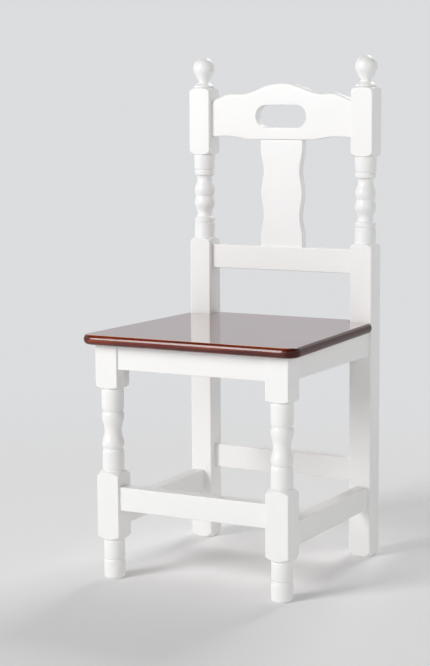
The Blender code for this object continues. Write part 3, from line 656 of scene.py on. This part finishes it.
def front_leg_outline(turning, size, top):
    """Lathe outline of a front leg: foot, lower block, vase and top block."""
    block_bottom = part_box("left_stretcher")[0].z - turning.foot_gap
    block_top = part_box("front_stretcher")[1].z + turning.vase_gap
    top_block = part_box("front_apron")[0].z - turning.apron_gap
    radius = turning.leg_radius
    clear = size * CLEAR_SHARE
    outline = turned_section(FOOT_START, FOOT, radius, 0, block_bottom)
    carry(outline, "cone", clear, block_bottom + turning.leg_pommel, FINE_STEP)
    outline.append((clear, block_top - turning.leg_pommel))
    carry(outline, "cone", VASE_START * radius, block_top, FINE_STEP)
    outline += turned_section(VASE_START, VASE, radius, block_top, top_block)[1:]
    shoulder(outline, size, turning.leg_edge, turning.leg_shoulder)
    outline.append((clear, top))
    return ease_corners(outline)


def finial_outline(turning, bottom, top, rim_steps=8, ball_steps=49, ball_start=-30):
    """Disc that runs up into a neck, then a cone and a ball."""
    rim = turning.disc_edge
    outline = []
    for step in range(rim_steps + 1):
        angle = math.pi / 2 * (step / rim_steps - 1)
        outline.append((
            turning.disc_radius - rim + rim * math.cos(angle), bottom + rim + rim * math.sin(angle)
        ))
    carry(outline, "ease", turning.neck_radius, bottom + turning.neck_height, FINEST_STEP)
    ball = turning.ball_radius
    for step in range(ball_steps):
        angle = math.radians(ball_start + (90 - ball_start) * step / ball_steps)
        outline.append((ball * math.cos(angle), top - ball + ball * math.sin(angle)))
    return outline


def back_post_outline(turning, size, top):
    """Lathe outline of a back post: lower block, double baluster, top block and finial."""
    lower_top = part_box("lower_back_rail")[1].z + turning.rail_gap
    upper_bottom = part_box("crest_rail")[0].z - turning.crest_gap
    upper_top = top - turning.finial_height
    middle = (lower_top + upper_bottom) / 2
    radius, edge, rise = turning.post_radius, turning.post_edge, turning.post_shoulder
    half = turned_section(BALUSTER_START, BALUSTER, radius, 0, upper_bottom - middle)
    outline = [(turning.post_foot, 0.0)]
    carry(outline, "cone", size * CLEAR_SHARE, turning.post_slope, FINE_STEP)
    outline += shoulder_above(size, edge, radius, lower_top, rise)
    outline += [(across, middle - along) for across, along in reversed(half[1:-1])]
    outline += [(across, middle + along) for across, along in half]
    shoulder(outline, size, edge, rise)
    outline += shoulder_above(size, edge, radius, upper_top, rise)
    outline += finial_outline(turning, upper_top, top)
    return ease_corners(outline)


def smooth_curve(points, steps=8):
    """Rounded curve through points whose first value rises, level at its start."""
    slopes = [0.0]
    for before, after in zip(points, points[2:]):
        slopes.append((after[1] - before[1]) / (after[0] - before[0]))
    slopes.append((points[-1][1] - points[-2][1]) / (points[-1][0] - points[-2][0]))
    curve = [points[0]]
    for index, ((x0, y0), (x1, y1)) in enumerate(zip(points, points[1:])):
        span = x1 - x0
        for step in range(1, steps + 1):
            t = step / steps
            curve.append((x0 + span * t, (
                (2 * t ** 3 - 3 * t ** 2 + 1) * y0
                + (t ** 3 - 2 * t ** 2 + t) * span * slopes[index]
                + (3 * t ** 2 - 2 * t ** 3) * y1
                + (t ** 3 - t ** 2) * span * slopes[index + 1]
            )))
    return curve


def mirrored(curve):
    """The curve's mirror image followed by the curve itself."""
    return [(-x, y) for x, y in reversed(curve[1:])] + list(curve)


def edge_normals(curve, outward):
    """Direction out of the board at each point of one sawn edge."""
    normals = []
    last = len(curve) - 1
    for index in range(len(curve)):
        (x0, y0), (x1, y1) = curve[max(index - 1, 0)], curve[min(index + 1, last)]
        slope = Vector((x1 - x0, y1 - y0)).normalized()
        normal = Vector((-slope.y, slope.x)) * outward
        if index in (0, last):
            normal = Vector((0, outward))
        normals.append(normal)
    return normals


def sawn_board(lower, upper, thickness, lower_edge, upper_edge, steps=6):
    """Board between two sawn edges, along its own Z and across its own X, with rounded rims."""
    end = upper[-1][0]
    sections = []
    below, above = edge_normals(lower, -1), edge_normals(upper, 1)
    for index in range(len(upper)):
        section = []
        for curve, normals, edge, way in (
            (lower, below, lower_edge, 1), (upper, above, upper_edge, -1),
        ):
            point, normal = Vector(curve[index]), normals[index]
            for turn in (*range(steps + 1), *range(steps, -1, -1)):
                side = -way if len(section) % (2 * steps + 2) <= steps else way
                angle = math.pi / 2 * turn / steps
                at = point - normal * edge * (1 - math.sin(angle))
                depth = side * (thickness / 2 - edge * (1 - math.cos(angle)))
                section.append((at.y, depth, max(-end, min(end, at.x))))
        sections.append(section)
    return skin(sections)


def slot_tool(span, height, thickness, edge=0.0015, overrun=0.004, rim_steps=5, end_steps=24):
    """Tool for a hand slot along its own Z, with round ends and rounded rims."""
    radius = height / 2
    reach = span / 2 - radius
    rim = [(thickness / 2 + overrun, edge)]
    for step in range(rim_steps + 1):
        angle = math.pi / 2 * step / rim_steps
        rim.append((thickness / 2 - edge + edge * math.cos(angle), edge * (1 - math.sin(angle))))
    rings = []
    for depth, grow in [(-y, g) for y, g in rim] + rim[::-1]:
        ring = []
        for end in (1, -1):
            for step in range(end_steps + 1):
                angle = math.pi * (step / end_steps - 0.5)
                ring.append((
                    end * (radius + grow) * math.sin(angle), depth,
                    end * (reach + (radius + grow) * math.cos(angle)),
                ))
        rings.append(ring)
    return skin(rings)


def matched(curve, other):
    """The other curve read off at the first curve's places."""
    result = []
    index = 0
    for x, _ in curve:
        while index < len(other) - 2 and other[index + 1][0] < x:
            index += 1
        (x0, y0), (x1, y1) = other[index], other[index + 1]
        result.append((x, y0 + (y1 - y0) * (x - x0) / (x1 - x0)))
    return result


def half_ellipse(inset, thickness, steps=14):
    """Section of the seat's nosing: how far it is drawn in, and its height from the middle."""
    angles = [math.pi * (step / steps - 0.5) for step in range(steps + 1)]
    return [(inset * (1 - math.cos(angle)), thickness / 2 * math.sin(angle)) for angle in angles]


def seat_plan(seat, half_front, half_rear, front, rear, inset, steps=14):
    """Plan of the seat forward of the posts, drawn in by an inset."""
    taper = math.atan2(half_front - half_rear, rear - front)
    plan = []
    for sign in (1, -1):
        side = []
        for x, y, radius, start, end, inward in (
            (half_front, front, seat.front_corner, -math.pi / 2, taper, 1),
            (half_rear, rear, seat.rear_corner, taper, math.pi / 2, -1),
        ):
            setback = inward * math.tan(taper) + 1 / math.cos(taper)
            middle = Vector((x - radius * setback, y + inward * radius))
            for step in range(steps + 1):
                angle = start + (end - start) * step / steps
                side.append(middle + (radius - inset) * Vector((math.cos(angle), math.sin(angle))))
        plan += [(sign * point.x, point.y) for point in (side if sign > 0 else side[::-1])]
    return plan


def screw_body(span, sides=20):
    """Wood screw along its own Z: tip, thread, shank and countersunk head."""
    rings = []
    count = int(span / SCREW_STEP)
    for step in range(count + 1):
        height = span * step / count
        taper = min(1.0, POINT_SHARE + height / TIP_HEIGHT)
        headward = max(0.0, height - (span - HEAD_HEIGHT)) / HEAD_HEIGHT
        ring = []
        for side in range(sides):
            turn = side / sides
            phase = (height * THREADS_PER_METRE - turn) % 1.0
            ridge = max(0.0, 1 - abs(phase - 0.5) * THREAD_STEEPNESS)
            if height >= span * THREADED_SHARE:
                ridge = PLAIN_RIDGE_SHARE
            distance = SHANK_RADIUS * taper * (CORE_SHARE + (1 - CORE_SHARE) * ridge)
            if headward:
                distance = SHANK_RADIUS * UNDER_HEAD_SHARE + headward * (HEAD_RADIUS - SHANK_RADIUS)
            angle = math.tau * turn
            ring.append((distance * math.cos(angle), distance * math.sin(angle), height))
        rings.append(ring)
    return skin(rings)


def recess_bar(top, turn):
    """Tool for one bar of the cross in a screw's head."""
    bm = bmesh.new()
    for vert in bmesh.ops.create_cube(bm, size=1)["verts"]:
        deep = vert.co.z < 0
        span, width = RECESS_BOTTOM if deep else RECESS_RIM
        vert.co.x *= span
        vert.co.y *= width
        vert.co.z = top - RECESS_DEPTH if deep else top + RECESS_OVERRUN
    bmesh.ops.rotate(bm, verts=bm.verts, matrix=Matrix.Rotation(turn, 3, "Z"))
    return bm


def head_side(name, middle, axis):
    """Which way along its axis a screw's head lies, read from its widest ring."""
    points = [vert.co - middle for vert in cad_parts[name].data.vertices]
    others = [index for index in range(3) if index != axis]
    widest = max(points, key=lambda point: sum(point[index] ** 2 for index in others))
    return 1 if widest[axis] > 0 else -1


def turn_pair(name, turning, outline, edge, rim=0.0):
    """Turn a left and a right piece in white paint where their solids stand."""
    for side in SIDES:
        solid = name + "_" + side
        low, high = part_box(solid)
        middle = (low + high) / 2
        size = high.y - low.y
        rings = turned_bar(outline(turning, size, high.z), size / 2, edge, rim)
        made = add_object(side + "_" + name, skin(rings), (middle.x, middle.y, 0))
        made.data.set_sharp_from_angle(angle=CRISP_BLOCKS)
        hand_over(made, "white_paint", solid)


def lay_planed(name, bm, place, lie):
    """Lay a planed rail in white paint where its solid lies."""
    made = add_object(name + "_planed", bm, place, lie)
    soften_shading(made)
    hand_over(made, "white_paint", name)


def lay_floor(stage):
    """Pale floor that keeps the chair's shadow and fades into the backdrop."""
    bm = bmesh.new()
    bmesh.ops.create_circle(bm, cap_ends=True, radius=30, segments=96)
    floor = add_object("floor", bm)
    material, tree, _ = new_material("Pale floor")
    tree.nodes.clear()
    own = node(tree, "ShaderNodeTexCoord").outputs["Object"]
    far = node(tree, "ShaderNodeVectorMath", {0: own}, operation="LENGTH").outputs["Value"]
    fade = node(
        tree, "ShaderNodeMapRange", {"Value": far, "From Min": 0.7, "From Max": 2.2},
        interpolation_type="SMOOTHSTEP",
    ).outputs[0]
    near = node(tree, "ShaderNodeBsdfDiffuse", {"Color": (*stage.floor, 1)}).outputs[0]
    away = node(tree, "ShaderNodeEmission", {"Color": (*stage.backdrop, 1)}).outputs[0]
    mix = node(tree, "ShaderNodeMixShader", {0: fade, 1: near, 2: away}).outputs[0]
    node(tree, "ShaderNodeOutputMaterial", {"Surface": mix})
    floor.data.materials.append(material)


def light_studio(stage):
    """Surround, bright above the horizon and dark overhead, and two softboxes."""
    world = bpy.data.worlds.new("Studio")
    bpy.context.scene.world = world
    world.use_nodes = True
    tree = world.node_tree
    direction = node(tree, "ShaderNodeTexCoord").outputs["Generated"]
    height = node(tree, "ShaderNodeSeparateXYZ", {0: direction}).outputs["Z"]
    surround = node(tree, "ShaderNodeValToRGB", {"Fac": height})
    shade_by_height(surround.color_ramp, ((BACKDROP_TOP, stage.backdrop), *SURROUND))
    feed(tree, tree.nodes["Background"], {"Color": surround.outputs["Color"]})
    hang_softbox("Key lamp", stage.key, azimuth=-28.4, elevation=25, size=(1.8, 3.4))
    hang_softbox("Back lamp", stage.back, azimuth=180, elevation=45, size=(2.0, 2.0))


def shade_by_height(ramp, shades):
    """Fill a colour ramp with shades, each at its height."""
    while len(ramp.elements) < len(shades):
        ramp.elements.new(1.0)
    for element, (height, shade) in zip(ramp.elements, shades):
        element.position = height
        element.color = (*shade, 1.0)


def hang_softbox(name, watts, azimuth, elevation, size, distance=6.0):
    """Softbox that faces the chair's middle; azimuth 0 is in front and 90 on the right."""
    azimuth, elevation = math.radians(azimuth), math.radians(elevation)
    lamp = bpy.data.lights.new(name, "AREA")
    lamp.shape = "RECTANGLE"
    lamp.size, lamp.size_y = size
    lamp.energy = watts
    box = bpy.data.objects.new(name, lamp)
    away = Vector((
        math.sin(azimuth) * math.cos(elevation), -math.cos(azimuth) * math.cos(elevation),
        math.sin(elevation),
    ))
    box.location = CHAIR_MIDDLE + away * distance
    box.rotation_euler = away.to_track_quat("Z", "Y").to_euler()
    box.visible_camera = False
    bpy.context.scene.collection.objects.link(box)


def place_camera(stage):
    """Camera at the photograph's viewing angle."""
    lens = bpy.data.cameras.new("Camera")
    lens.lens = stage.lens
    lens.sensor_width = SENSOR_WIDTH
    camera = bpy.data.objects.new("Camera", lens)
    camera.location = CAMERA_PLACE
    camera.rotation_euler = [math.radians(angle) for angle in CAMERA_ANGLES]
    bpy.context.scene.collection.objects.link(camera)
    bpy.context.scene.camera = camera


class CHAIR_OT_front_legs(bpy.types.Operator):
    """Turn the two front legs"""

    bl_idname = "chair.front_legs"
    bl_label = "Front Legs"

    def execute(self, context):
        turning = context.scene.chair_turning
        turn_pair("front_leg", turning, front_leg_outline, turning.leg_edge)
        return {"FINISHED"}


class CHAIR_OT_back_posts(bpy.types.Operator):
    """Turn the two back posts with their ball finials"""

    bl_idname = "chair.back_posts"
    bl_label = "Back Posts"

    def execute(self, context):
        turning = context.scene.chair_turning
        turn_pair("back_post", turning, back_post_outline, turning.post_edge, turning.post_rim)
        return {"FINISHED"}


class CHAIR_OT_rails(bpy.types.Operator):
    """Plane the aprons, the stretchers and the lower back rail"""

    bl_idname = "chair.rails"
    bl_label = "Aprons, Stretchers and Lower Back Rail"

    def execute(self, context):
        joinery = context.scene.chair_joinery
        for name, holder in (
            ("front_apron", "front_leg"), ("front_stretcher", "front_leg"),
            ("rear_apron", "back_post"), ("rear_stretcher", "back_post"),
            ("lower_back_rail", "back_post"),
        ):
            low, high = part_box(name)
            middle = (low + high) / 2
            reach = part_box(holder + "_right")[0].x + joinery.lap
            bm = board(2 * reach, high.z - low.z, high.y - low.y, joinery.rail_edge)
            lay_planed(name, bm, (0, middle.y, middle.z), ALONG_X)
        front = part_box("front_leg_right")[1].y - joinery.lap
        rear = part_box("back_post_right")[0].y + joinery.lap
        for side in SIDES:
            for name in (side + "_apron", side + "_stretcher"):
                low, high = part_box(name)
                middle = (low + high) / 2
                bm = board(rear - front, high.x - low.x, high.z - low.z, joinery.rail_edge)
                lay_planed(name, bm, (middle.x, (front + rear) / 2, middle.z), ALONG_Y)
        return {"FINISHED"}


class CHAIR_OT_crest_rail(bpy.types.Operator):
    """Saw the crest rail, round its top and cut its hand slot"""

    bl_idname = "chair.crest_rail"
    bl_label = "Crest Rail"

    def execute(self, context):
        joinery = context.scene.chair_joinery
        low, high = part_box("crest_rail")
        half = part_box("back_post_right")[0].x + joinery.lap
        tall, thick = high.z - low.z, high.y - low.y
        upper, lower = (
            [(x * half, z * tall) for x, z in mirrored(smooth_curve(shares))]
            for shares in (CREST_TOP, CREST_UNDERSIDE)
        )
        bm = sawn_board(matched(upper, lower), upper, thick, joinery.crest_rim, joinery.crest_edge)
        depth = (low.y + high.y) / 2
        made = add_object("crest_rail_shaped", bm, (0, depth, low.z), ALONG_X)
        tool = slot_tool(joinery.slot_length, joinery.slot_height, thick)
        slot_z = low.z + joinery.slot_rise + joinery.slot_height / 2
        combine(made, add_object("slot_tool", tool, (0, depth, slot_z), ALONG_X), "DIFFERENCE")
        soften_shading(made)
        hand_over(made, "white_paint", "crest_rail")
        return {"FINISHED"}


class CHAIR_OT_splat(bpy.types.Operator):
    """Saw the back splat with its scalloped sides"""

    bl_idname = "chair.splat"
    bl_label = "Back Splat"

    def execute(self, context):
        joinery = context.scene.chair_joinery
        low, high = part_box("back_splat")
        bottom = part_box("lower_back_rail")[1].z - joinery.lap
        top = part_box("crest_rail")[0].z + joinery.lap
        half, width = (top - bottom) / 2, (high.x - low.x) / 2
        upper = [(z * half, x * width) for z, x in mirrored(smooth_curve(SPLAT_SIDE))]
        lower = [(z, -x) for z, x in upper]
        edge = joinery.splat_edge
        bm = sawn_board(lower, upper, high.y - low.y, edge, edge)
        place = (0, (low.y + high.y) / 2, (bottom + top) / 2)
        made = add_object("back_splat_shaped", bm, place)
        soften_shading(made)
        hand_over(made, "white_paint", "back_splat")
        return {"FINISHED"}


class CHAIR_OT_seat(bpy.types.Operator):
    """Shape the seat board with its nosing and notches"""

    bl_idname = "chair.seat"
    bl_label = "Seat"

    def execute(self, context):
        seat = context.scene.chair_seat
        low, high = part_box("seat_board")
        post_low, post_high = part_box("back_post_right")
        thick = high.z - low.z
        rear = post_low.y - seat.clearance
        nose = half_ellipse(seat.nosing, thick)
        front_half = post_high.x + seat.side_overhang
        rear_half = post_high.x + seat.rear_overhang
        rings = [
            [(x, y, z) for x, y in seat_plan(seat, front_half, rear_half, low.y, rear, inset)]
            for inset, z in nose
        ]
        place = (0, 0, (low.z + high.z) / 2)
        made = add_object("seat_shaped", skin(rings), place)
        inner = post_low.x - seat.clearance
        lap = rear - TONGUE_LAP
        section = [(lap, nose[0][1])] + [(high.y - inset, z) for inset, z in nose]
        section.append((lap, nose[-1][1]))
        tongue = skin([[(x, y, z) for y, z in section] for x in (-inner, inner)])
        combine(made, add_object("tongue", tongue, place), "UNION")
        soften_shading(made)
        hand_over(made, "mahogany_lacquer", "seat_board")
        return {"FINISHED"}


class CHAIR_OT_corner_blocks(bpy.types.Operator):
    """Show the grain of the raw corner blocks under the seat"""

    bl_idname = "chair.corner_blocks"
    bl_label = "Corner Blocks"

    def execute(self, context):
        for name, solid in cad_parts.items():
            if name.startswith("corner_block"):
                for slot in solid.material_slots:
                    slot.material = finish("raw_wood")
        return {"FINISHED"}


class CHAIR_OT_screws(bpy.types.Operator):
    """Make the screws with their threads and cross recesses"""

    bl_idname = "chair.screws"
    bl_label = "Screws"

    def execute(self, context):
        meshes = {}
        for name in sorted(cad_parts):
            if "_screw_" not in name:
                continue
            low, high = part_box(name)
            middle, sizes = (low + high) / 2, high - low
            axis = max(range(3), key=lambda index: sizes[index])
            span = round(sizes[axis], 5)
            direction = Vector()
            direction[axis] = head_side(name, middle, axis)
            tip = middle - direction * sizes[axis] / 2
            lie = direction.to_track_quat("Z", "Y").to_matrix().to_4x4()
            made = add_object(name.replace("screw", "threaded_screw"), screw_body(span), tip, lie)
            if span in meshes:
                made.data = meshes[span]
            else:
                for turn in (0, math.pi / 2):
                    combine(made, add_object("bar", recess_bar(span, turn), tip, lie), "DIFFERENCE")
                made.data.set_sharp_from_angle(angle=CRISP_SCREWS)
                meshes[span] = made.data
            hand_over(made, "zinc_steel", name)
        return {"FINISHED"}


class CHAIR_OT_stage(bpy.types.Operator):
    """Set the floor, the studio light and the camera"""

    bl_idname = "chair.stage"
    bl_label = "Stage"

    def execute(self, context):
        stage = context.scene.chair_stage
        lay_floor(stage)
        light_studio(stage)
        place_camera(stage)
        context.scene.view_settings.view_transform = "Standard"
        return {"FINISHED"}


OPERATORS = (
    CHAIR_OT_front_legs, CHAIR_OT_back_posts, CHAIR_OT_rails, CHAIR_OT_crest_rail, CHAIR_OT_splat,
    CHAIR_OT_seat, CHAIR_OT_corner_blocks, CHAIR_OT_screws, CHAIR_OT_stage,
)
GROUPS = (
    ("chair_turning", ChairTurning), ("chair_joinery", ChairJoinery), ("chair_seat", ChairSeat),
    ("chair_finishes", ChairFinishes), ("chair_stage", ChairStage),
)


class CHAIR_PT_sidebar(bpy.types.Panel):
    """Lists the chair's sizes, colours and pieces"""

    bl_idname = "CHAIR_PT_sidebar"
    bl_label = "Dining Chair"
    bl_space_type = "VIEW_3D"
    bl_region_type = "UI"
    bl_category = "Chair"

    def draw(self, context):
        layout = self.layout
        for name, group in GROUPS:
            box = layout.box()
            box.label(text=group.__doc__)
            for field in group.__annotations__:
                box.prop(getattr(context.scene, name), field)
        for operator in OPERATORS:
            layout.operator(operator.bl_idname)


def register():
    """Add the chair's sizes, operators and panel to Blender."""
    for name, group in GROUPS:
        bpy.utils.register_class(group)
        setattr(bpy.types.Scene, name, bpy.props.PointerProperty(type=group))
    for operator in OPERATORS:
        bpy.utils.register_class(operator)
    bpy.utils.register_class(CHAIR_PT_sidebar)


def unregister():
    """Take the chair's panel, operators and sizes away again."""
    bpy.utils.unregister_class(CHAIR_PT_sidebar)
    for operator in reversed(OPERATORS):
        bpy.utils.unregister_class(operator)
    for name, group in reversed(GROUPS):
        delattr(bpy.types.Scene, name)
        bpy.utils.unregister_class(group)


def main():
    """Make the chair and its stage."""
    register()
    bpy.ops.chair.front_legs()
    bpy.ops.chair.back_posts()
    bpy.ops.chair.rails()
    bpy.ops.chair.crest_rail()
    bpy.ops.chair.splat()
    bpy.ops.chair.seat()
    bpy.ops.chair.corner_blocks()
    bpy.ops.chair.screws()
    bpy.ops.chair.stage()


if __name__ == "__main__":
    main()
